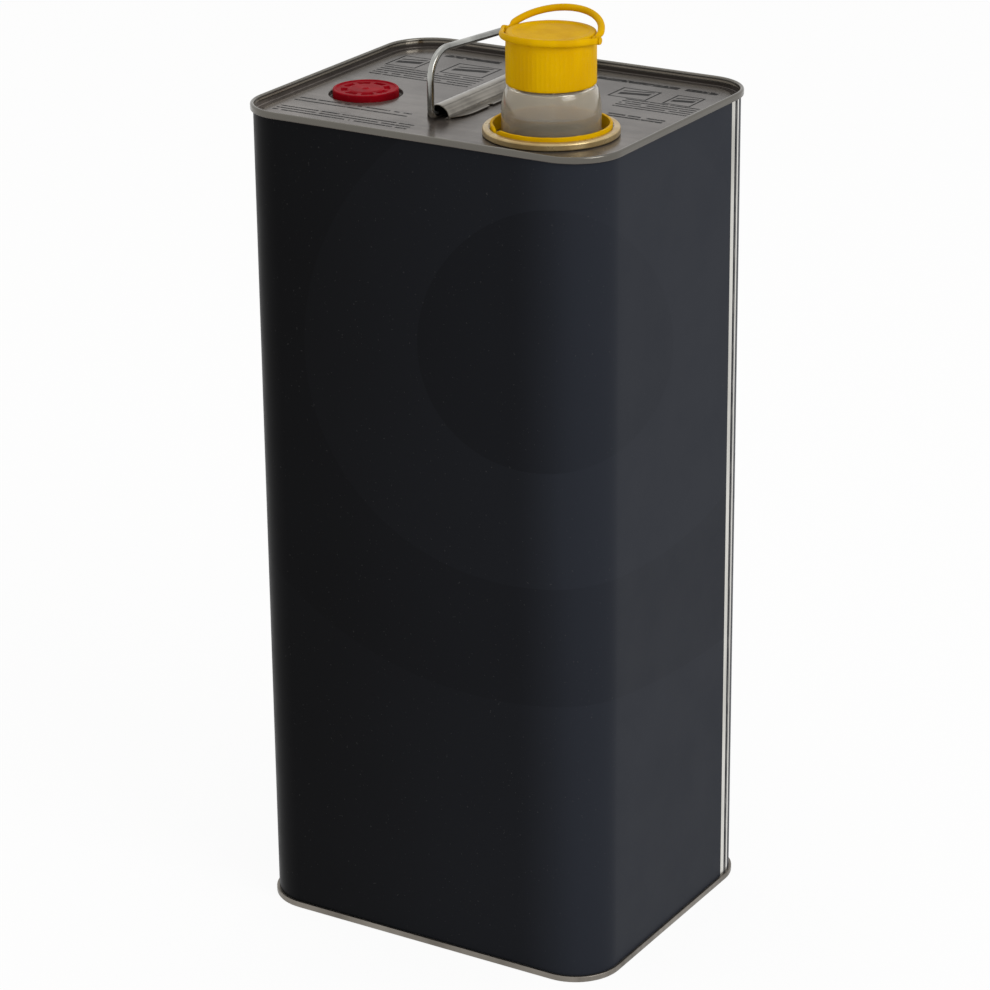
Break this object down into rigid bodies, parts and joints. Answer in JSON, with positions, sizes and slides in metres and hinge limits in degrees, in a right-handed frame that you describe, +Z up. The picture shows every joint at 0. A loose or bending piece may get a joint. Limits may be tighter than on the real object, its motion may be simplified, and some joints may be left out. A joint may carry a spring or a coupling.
{
  "type": "rectangular oil can",
  "caption": "Tall rectangular tinplate can for motor oil, with a pull-up pour spout under a screw cap, a vent plug and a swinging wire handle.",
  "frame": {"origin": "middle of the base, on the surface that the can stands on", "axes": "+X along the wide face towards the spout's side, -Y out of the front wide face, +Z up"},
  "size_m": [0.1874, 0.153, 0.444],
  "materials": {
    "printed_tin": "semi-gloss black litho print on tinplate",
    "weld_seam": "dark welded lap",
    "tinplate": "satin tinplate with grey print",
    "sealing_compound": "dull, cured",
    "bracket_tin": "satin tinplate",
    "handle_wire": "bright tinned wire",
    "gold_lacquer": "gold lacquer on tinplate",
    "gasket_rubber": "matt",
    "natural_plastic": "translucent natural polyethylene",
    "yellow_plastic": "satin moulded polyethylene",
    "liner_foam": "closed foam",
    "red_plastic": "satin moulded polyethylene"
  },
  "bodies": {
    "root": {"can_body": "printed_tin", "side_seam": "weld_seam", "top_end": "tinplate", "bottom_end": "tinplate", "top_seam_compound": "sealing_compound", "bottom_seam_compound": "sealing_compound", "handle_bracket": "bracket_tin", "spout_collar": "gold_lacquer", "spout_gasket": "gasket_rubber", "spout_base": "natural_plastic", "tamper_band": "yellow_plastic", "spout_sleeve": "natural_plastic", "vent_gasket": "gasket_rubber"},
    "handle": {"wire_handle": "handle_wire"},
    "neck": {"spout_neck": "natural_plastic", "neck_membrane": "natural_plastic"},
    "membrane_ring": {"pull_ring": "natural_plastic"},
    "liner": {"cap_liner": "liner_foam"},
    "cap": {"spout_cap": "yellow_plastic"},
    "bail_rear": {"cap_bail_rear": "yellow_plastic"},
    "bail_front": {"cap_bail_front": "yellow_plastic"},
    "vent": {"vent_plug": "red_plastic"}
  },
  "joints": [
    {"name": "handle_swing", "type": "hinge", "parent": "root", "child": "handle", "pos_m": [-0.009, 0, 0.39335], "axis": [0, 1, 0], "range_deg": [-90, 80]},
    {"name": "spout_retract", "type": "slide", "parent": "root", "child": "neck", "axis": [0, 0, 1], "range_m": [-0.041, 0], "deforming": ["spout_sleeve"]},
    {"name": "pull_ring_hinge", "type": "hinge", "parent": "neck", "child": "membrane_ring", "pos_m": [0.0395, -0.033, 0.414], "axis": [0, -1, 0], "range_deg": [0, 75]},
    {"name": "cap_lift", "type": "slide", "parent": "neck", "child": "liner", "axis": [0, 0, 1], "range_m": [0, 0.0046]},
    {"name": "cap_turn", "type": "hinge", "parent": "liner", "child": "cap", "pos_m": [0.047, -0.033, 0.414], "axis": [0, 0, 1], "range_deg": [0, 540]},
    {"name": "bail_rear_hinge", "type": "hinge", "parent": "cap", "child": "bail_rear", "pos_m": [0.047, -0.033, 0.4349], "axis": [0.9994, 0.0349, 0], "range_deg": [-20, 46]},
    {"name": "bail_front_hinge", "type": "hinge", "parent": "cap", "child": "bail_front", "pos_m": [0.047, -0.033, 0.4349], "axis": [-0.9994, -0.0349, 0], "range_deg": [-4, 62]},
    {"name": "vent_plug_lift", "type": "slide", "parent": "root", "child": "vent", "axis": [0, 0, 1], "range_m": [0, 0.012]}
  ],
  "couplings": [
    {"joint": "cap_lift", "follows": "cap_turn", "m_per_rad": 0.00047746}
  ]
}
